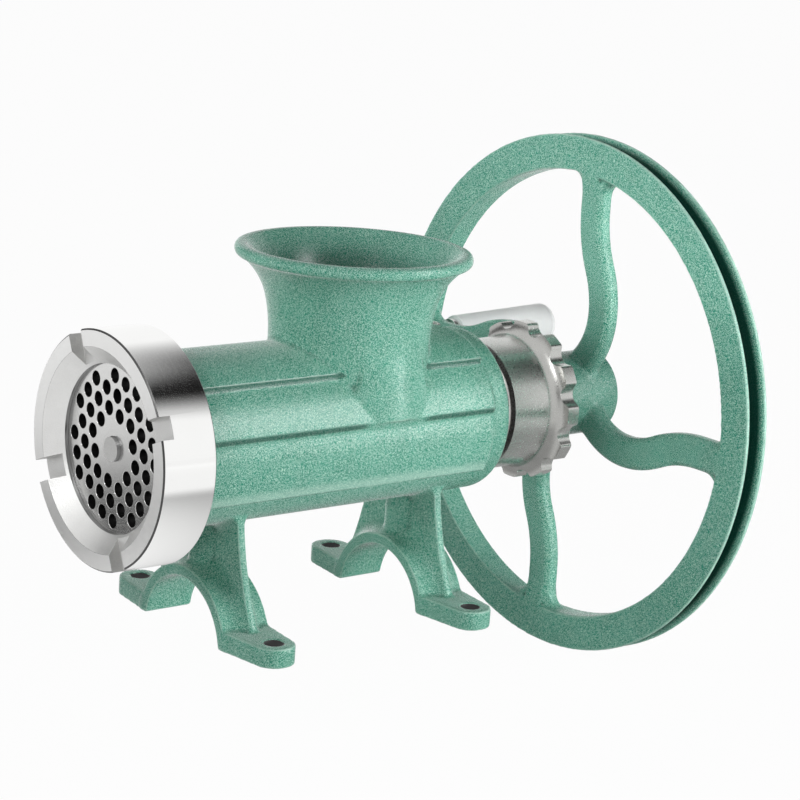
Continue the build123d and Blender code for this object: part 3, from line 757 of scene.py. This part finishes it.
# %% Write the curvature step
def measure_hollows(piece, rounds):
    """Store each point's curvature, above zero in hollows and below zero on edges, evened out in rounds."""
    mesh = piece.data
    points = np.empty(len(mesh.vertices) * 3)
    normals = np.empty(len(mesh.vertices) * 3)
    ends = np.empty(len(mesh.edges) * 2, dtype=np.int64)
    mesh.vertices.foreach_get("co", points)
    mesh.vertices.foreach_get("normal", normals)
    mesh.edges.foreach_get("vertices", ends)
    points, normals, ends = points.reshape(-1, 3), normals.reshape(-1, 3), ends.reshape(-1, 2)
    starts, stops = np.concatenate((ends, ends[:, ::-1])).T
    count = np.maximum(np.bincount(starts, minlength=len(points)), 1)
    step = points[stops] - points[starts]
    bend = 2 * (step * normals[starts]).sum(axis=1) / np.maximum((step**2).sum(axis=1), 1e-12)
    hollow = np.bincount(starts, bend, len(points)) / count
    for _ in range(rounds):
        hollow = (hollow + np.bincount(starts, hollow[stops], len(points)) / count) / 2
    layer = mesh.attributes.new("hollow", "FLOAT", "POINT")
    layer.data.foreach_set("value", hollow.astype(np.float32))
    print(piece.name, "curvature per metre, 2nd and 98th percent:", np.percentile(hollow, (2, 98)).round(0))


# %% [markdown]
# ## Castings
# A casting has no sharp corners: sand rounds every edge and fills every inner corner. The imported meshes
# have crisp edges, so a copy is turned into an even skin of small faces, swelled and shrunk again by
# the fillet's radius, which fills the inner corners, and then smoothed, which rounds the outer ones.
# Its curvature is measured while its points still lie evenly, before it is thinned to fewer faces.

# %% Write the casting steps
def triangles_of(piece):
    """How many triangles a piece's faces make."""
    return sum(len(face.vertices) - 2 for face in piece.data.polygons)


def cast_copy(node, piece_name, voxel, fillet, passes, most_triangles=195000, addition=None):
    """A copy of a node as a casting, with filled inner corners and rounded edges."""
    piece = copy_of(node, piece_name)
    if addition:
        addition(piece)
    for reach in (fillet, -fillet):
        skin = piece.modifiers.new("skin", "REMESH")
        skin.mode = "VOXEL"
        skin.voxel_size = voxel
        swell = piece.modifiers.new("swell", "DISPLACE")
        swell.mid_level = 0.0
        swell.strength = reach
    soften = piece.modifiers.new("soften", "SMOOTH")
    soften.factor = 0.5
    soften.iterations = passes
    bake_modifiers(piece)
    made = triangles_of(piece)
    measure_hollows(piece, 3)
    if made > most_triangles:
        thin = piece.modifiers.new("thin", "DECIMATE")
        thin.ratio = most_triangles / made
        bake_modifiers(piece)
    for face in piece.data.polygons:
        face.use_smooth = True
    print(piece_name, "made", made, "kept", triangles_of(piece))
    return piece


# %% [markdown]
# ## Body with its hopper
# The hopper's tube spreads a little where it meets the barrel. That foot is a slice of a cone on each side,
# which the new skin joins to the rest. Little light reaches the hopper's throat, so its inner wall is painted
# darker from the rim down, a painted shade, by way of the value that darkens hollows.

# %% Cast the body
foot_r = 50.0 * mm
neck_r = 44.2 * mm
foot_top = 46 * mm
foot_inside = lip_r - 8.4 * mm
foot_segments = 96
rim_roll = 3 * mm
dark_depth = 22 * mm
# the throat's painted shade grows over the first depth up to this value
throat_shade_value = 230


def add_hopper_feet(piece):
    """Add the flared foot of the hopper on both sides of the barrel, down to the middle lip."""
    low = axis_z + lip_r * math.sin(lip_angles[1])
    height = axis_z + foot_top - low
    place = Matrix.Translation((hopper_x, 0, low + height / 2))
    bm = bmesh.new()
    bm.from_mesh(piece.data)
    for side in (-1, 1):
        made = bmesh.ops.create_cone(
            bm, cap_ends=True, segments=foot_segments, radius1=foot_r, radius2=neck_r, depth=height,
            matrix=place,
        )
        cone = set(made["verts"])
        faces = {face for vertex in cone for face in vertex.link_faces}
        edges = {edge for vertex in cone for edge in vertex.link_edges}
        cut = bmesh.ops.bisect_plane(
            bm, geom=[*cone, *edges, *faces], plane_co=(0, side * foot_inside, 0), plane_no=(0, -side, 0),
            clear_outer=True,
        )
        rim = [part for part in cut["geom_cut"] if isinstance(part, bmesh.types.BMEdge)]
        bmesh.ops.holes_fill(bm, edges=rim)
    bm.to_mesh(piece.data)
    bm.free()
    print("hopper's feet", round(height / mm, 1), "mm high")


def paint_throat_shade(piece):
    """Raise the hollow value on the hopper's inner wall, more and more from the rim down, as painted shade."""
    mesh = piece.data
    layer = mesh.attributes["hollow"]
    darkened = 0
    for vertex, value in zip(mesh.vertices, layer.data):
        inward = vertex.normal.x * (hopper_x - vertex.co.x) - vertex.normal.y * vertex.co.y
        depth = (body_top - rim_roll - vertex.co.z) / dark_depth
        if inward > 0 and depth > 0 and vertex.co.z > axis_z + lip_r:
            value.value = max(value.value, painted_shade_from + throat_shade_value * min(depth, 1))
            darkened += 1
    print("darkened points inside the hopper:", darkened)


body_cast = cast_copy("grinder_body", "cast_body", 0.9 * mm, 0.9 * mm, 2, addition=add_hopper_feet)
paint_throat_shade(body_cast)
settle(body_cast, "body", "grinder_body", [green_enamel, tinned_iron, painted_hole_shade])
body_cast.visible_glossy = False  # reflections show the room and the cards, not the body
glossy_castings.objects.link(body_cast)

# %% [markdown]
# ## Wheel and screw
# The wheel is cast and painted like the body. Its fillets are smaller, so that the belt groove stays crisp.
# The screw has rounder edges, and is tinned instead of painted, because it touches the meat.

# %% Cast the wheel and the screw
wheel_cast = cast_copy("flywheel", "cast_wheel", 0.9 * mm, 0.6 * mm, 1)
settle(wheel_cast, "rotor", "flywheel", [green_enamel])
glossy_castings.objects.link(wheel_cast)
screw_cast = cast_copy("feed_screw", "screw_casting", 1.2 * mm, 1.5 * mm, 3)
settle(screw_cast, "rotor", "feed_screw", [tinned_iron])

# %% [markdown]
# ## Machining
# The ring, plate, nuts and washers are machined, so their edges are crisp with a fine chamfer. A copy of
# each node gets a narrow bevel on its sharp edges, and every face takes the finish of the surface that
# it lies on. A thread is pressed into its round step along a helix, and only where one can be seen.

# %% Write the machining steps
sharp_angle = math.radians(35)
flat_angle = math.radians(0.5)
thread_reach = 0.8 * mm
cuts_per_turn = 8


def press_thread(piece, from_x, to_x, top_r, pitch, depth):
    """Press a V thread into the round surface of radius top_r between two stations."""
    for vertex in piece.data.vertices:
        r = radius_of(vertex.co)
        if from_x < vertex.co.x < to_x and abs(r - top_r) < thread_reach:
            angle = math.atan2(vertex.co.z - axis_z, vertex.co.y)
            phase = (vertex.co.x / pitch + angle / math.tau) % 1.0
            shrink = (top_r - depth * (1 - abs(2 * phase - 1))) / r
            vertex.co.y *= shrink
            vertex.co.z = axis_z + (vertex.co.z - axis_z) * shrink


def mark(piece, index, test):
    """Give a material index to every face whose middle and normal pass a test."""
    faces = [face for face in piece.data.polygons if test(face.center, face.normal)]
    for face in faces:
        face.material_index = index
    print(piece.name, "finish", index, "on", len(faces), "faces")


def machined_copy(node, piece_name, width, thread=None, limit=sharp_angle):
    """A copy of a node with a fine chamfer on its sharp edges, and a thread on one step if given."""
    piece = copy_of(node, piece_name)
    bm = bmesh.new()
    bm.from_mesh(piece.data)
    bmesh.ops.dissolve_limit(bm, angle_limit=flat_angle, verts=bm.verts, edges=bm.edges)
    if thread:
        from_x, to_x, top_r, pitch, depth = thread
        long_edges = [
            line for line in bm.edges
            if all(abs(radius_of(v.co) - top_r) < slack for v in line.verts)
            and abs(line.verts[0].co.x - line.verts[1].co.x) > 0.9 * (to_x - from_x)
        ]
        cuts = round(cuts_per_turn * (to_x - from_x) / pitch)
        bmesh.ops.subdivide_edges(bm, edges=long_edges, cuts=cuts, use_grid_fill=True)
    bm.to_mesh(piece.data)
    bm.free()
    chamfer = piece.modifiers.new("chamfer", "BEVEL")
    chamfer.width = width
    chamfer.segments = 2
    chamfer.limit_method = "ANGLE"
    chamfer.angle_limit = limit
    bake_modifiers(piece)
    if thread:
        press_thread(piece, from_x + width, to_x - width, top_r, pitch, depth)
    for face in piece.data.polygons:
        face.use_smooth = True
    piece.data.set_sharp_from_angle(angle=sharp_angle)
    flatten = piece.modifiers.new("flatten", "WEIGHTED_NORMAL")
    flatten.keep_sharp = True
    bake_modifiers(piece)
    return piece


# %% [markdown]
# ## Slotted ring
# The ring nut is polished round its outside, turned on its face, rough in its recess and duller in its slots.
# Its chamfers are near-black, a painted dark reflection, and its lip and bore are darker, painted shade.
# Which finish a face takes follows from where it lies and where it looks.

# %% Finish the ring
# edge is a near-black finish painted as a dark reflection on the chamfers; lip is a darker finish painted as shade
polished, turned, recess, slot, edge, lip = range(6)
ring_finishes = [polished_steel, turned_steel, cast_recess, slot_wall, painted_edge_reflection, painted_bore_shade]
outer_edge = 1.2 * mm
outer_skin = 1.0 * mm
face_skin = 0.6 * mm
rear_skin = 1 * mm
squarely = 0.9
barely = 0.3


def ring_finish(face):
    """Which of the ring's finishes a face takes, from where it lies and where it looks."""
    r, away = radius_of(face.center), outward_share(face)
    depth = face.center.x - ring_front
    along = abs(face.normal.x)
    if r > ring_r - outer_edge and 0.25 < along < 0.95:
        return edge
    if away > squarely and r > ring_r - outer_skin:
        return polished
    if depth < face_skin:
        return turned if along > 0.985 else edge
    if face.normal.x > squarely and face.center.x > ring_back - rear_skin:
        return turned
    if abs(away) < barely and along < barely:
        return slot
    if away < -0.8 and face.center.x < plate_front + 0.2 * mm:
        return lip
    return recess if face.center.x < plate_front else lip


ring = machined_copy("ring_nut", "slotted_ring", 0.6 * mm, limit=math.radians(15))
settle(ring, "ring", "ring_nut", ring_finishes)
for face in ring.data.polygons:
    face.material_index = ring_finish(face)
print("faces of the ring:", len(ring.data.polygons))

# %% [markdown]
# ## Plate, stud and lobed nut
# The plate is ground flat, and its hole walls are near-black, painted as the shade inside them. The stud's
# pin shows in the middle of the plate with a rough end, its side by the plate darker as a painted shadow. The
# lobed nut is satin plated, with a darker cast flare and a near-black thread painted as the gap's shade.

# %% Finish the plate, the stud and the nut
nut_pitch = 3 * mm
thread_depth = 1.2 * mm
pin_length = 1.6 * mm
flare_start = spigot_end + 5 * mm

plate = machined_copy("grinding_plate", "drilled_plate", 0.25 * mm)
settle(plate, "plate", "grinding_plate", [ground_steel, painted_hole_shade])
# hole walls take a near-black finish, painted as the shade inside them
mark(plate, 1, lambda point, normal: abs(normal.x) < barely and radius_of(point) < plate_r - 2 * mm)

stud = machined_copy("knife_stud", "stud", 0.5 * mm)
settle(stud, "rotor", "knife_stud", [pin_end, painted_bore_shade])
# the pin's side next to the plate takes the darker finish, painted as the shadow round the pin
mark(stud, 1, lambda point, normal: point.x > plate_front - pin_length)

spigot_thread = (spigot_start, spigot_end, spigot_r, nut_pitch, thread_depth)
nut = machined_copy("adjusting_nut", "lobed_nut", 0.6 * mm, spigot_thread)
settle(nut, "adjuster", "adjusting_nut", [satin_plate, thread_painted_shade, cast_flare])
# the spigot's thread takes a near-black finish, painted as the shade in the gap
mark(nut, 1, lambda point, normal: point.x < spigot_end - 0.7 * mm)
mark(nut, 2, lambda point, normal: point.x > flare_start and normal.x < -0.1)

# %% [markdown]
# ## Knife, fasteners and grip
# The other machined pieces have one finish each, so a list of them with the width of each chamfer is enough.

# %% Finish the other machined pieces
# node, piece, body, slot, finish, chamfer in millimetres
machined = [
    ("knife", "knife_blades", "rotor", "tool_steel", tool_steel, 0.2),
    ("wheel_nut", "hub_nut", "rotor", "bright_fasteners", bright_zinc, 0.5),
    ("wheel_washer", "hub_washer", "rotor", "bright_fasteners", bright_zinc, 0.3),
    ("wheel_spring_washer", "hub_spring_washer", "rotor", "bright_fasteners", bright_zinc, 0.3),
    ("grip_spindle", "spindle", "rotor", "bright_fasteners", spindle_steel, 0.3),
    ("spindle_washer", "grip_plain_washer", "rotor", "bright_fasteners", bright_zinc, 0.2),
    ("spindle_nut", "grip_nut", "rotor", "bright_fasteners", bright_zinc, 0.4),
    ("grip", "grip_sleeve", "handle", "pale_grip", pale_grip, 0.4),
    ("grip_cap", "grip_end", "handle", "pale_grip", pale_grip, 0.3),
]
for node, piece_name, body, slot_name, material, width in machined:
    settle(machined_copy(node, piece_name, width * mm), body, node, [material])
print("other machined pieces:", len(machined))

# %% [markdown]
# ## Bare mouth and bolt holes
# The barrel's mouth is threaded for the ring and left bare, which shows once the ring is unscrewed. The
# walls of the bolt holes are near-black, painted as the shade inside them.

# %% Finish the mouth and the holes
ring_pitch = 4 * mm
thread_end = 1 * mm
hole_margin_mm = 0.5
bolts = next(mount["dims"] for mount in frame["record"]["mounts"] if mount["name"] == "foot_bolts")


def in_bolt_hole(point, normal):
    """Whether a face of the body is the wall of a foot's bolt hole."""
    beside_x = abs(point.x) - bolts["spacing_x_mm"] * mm / 2
    beside_y = abs(point.y) - bolts["spacing_y_mm"] * mm / 2
    return math.hypot(beside_x, beside_y) < (bolts["hole_r_mm"] + hole_margin_mm) * mm and abs(normal.z) < 0.6


press_thread(body_cast, mouth_start + thread_end, mouth_end - thread_end, mouth_r, ring_pitch, thread_depth)
mark(body_cast, 1, lambda point, normal: point.x < mouth_end and radius_of(point) < mouth_r + 0.3 * mm)
# bolt hole walls take a near-black finish, painted as the shade inside them
mark(body_cast, 2, in_bolt_hole)

# %% [markdown]
# ## Pieces that stay as packed
# The keys, the bush and the inner washers hardly show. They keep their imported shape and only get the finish
# of what they are made of.

# %% Finish the inner pieces
inner = {
    "plate_key": tool_steel,
    "wheel_key": tool_steel,
    "thrust_washer": tool_steel,
    "fibre_washer": fibre,
    "bearing_bush": bush_bronze,
    "grip_washer": bright_zinc,
}
for node, material in inner.items():
    nodes[node].data.materials.clear()
    nodes[node].data.materials.append(material)
print("inner pieces:", len(inner))
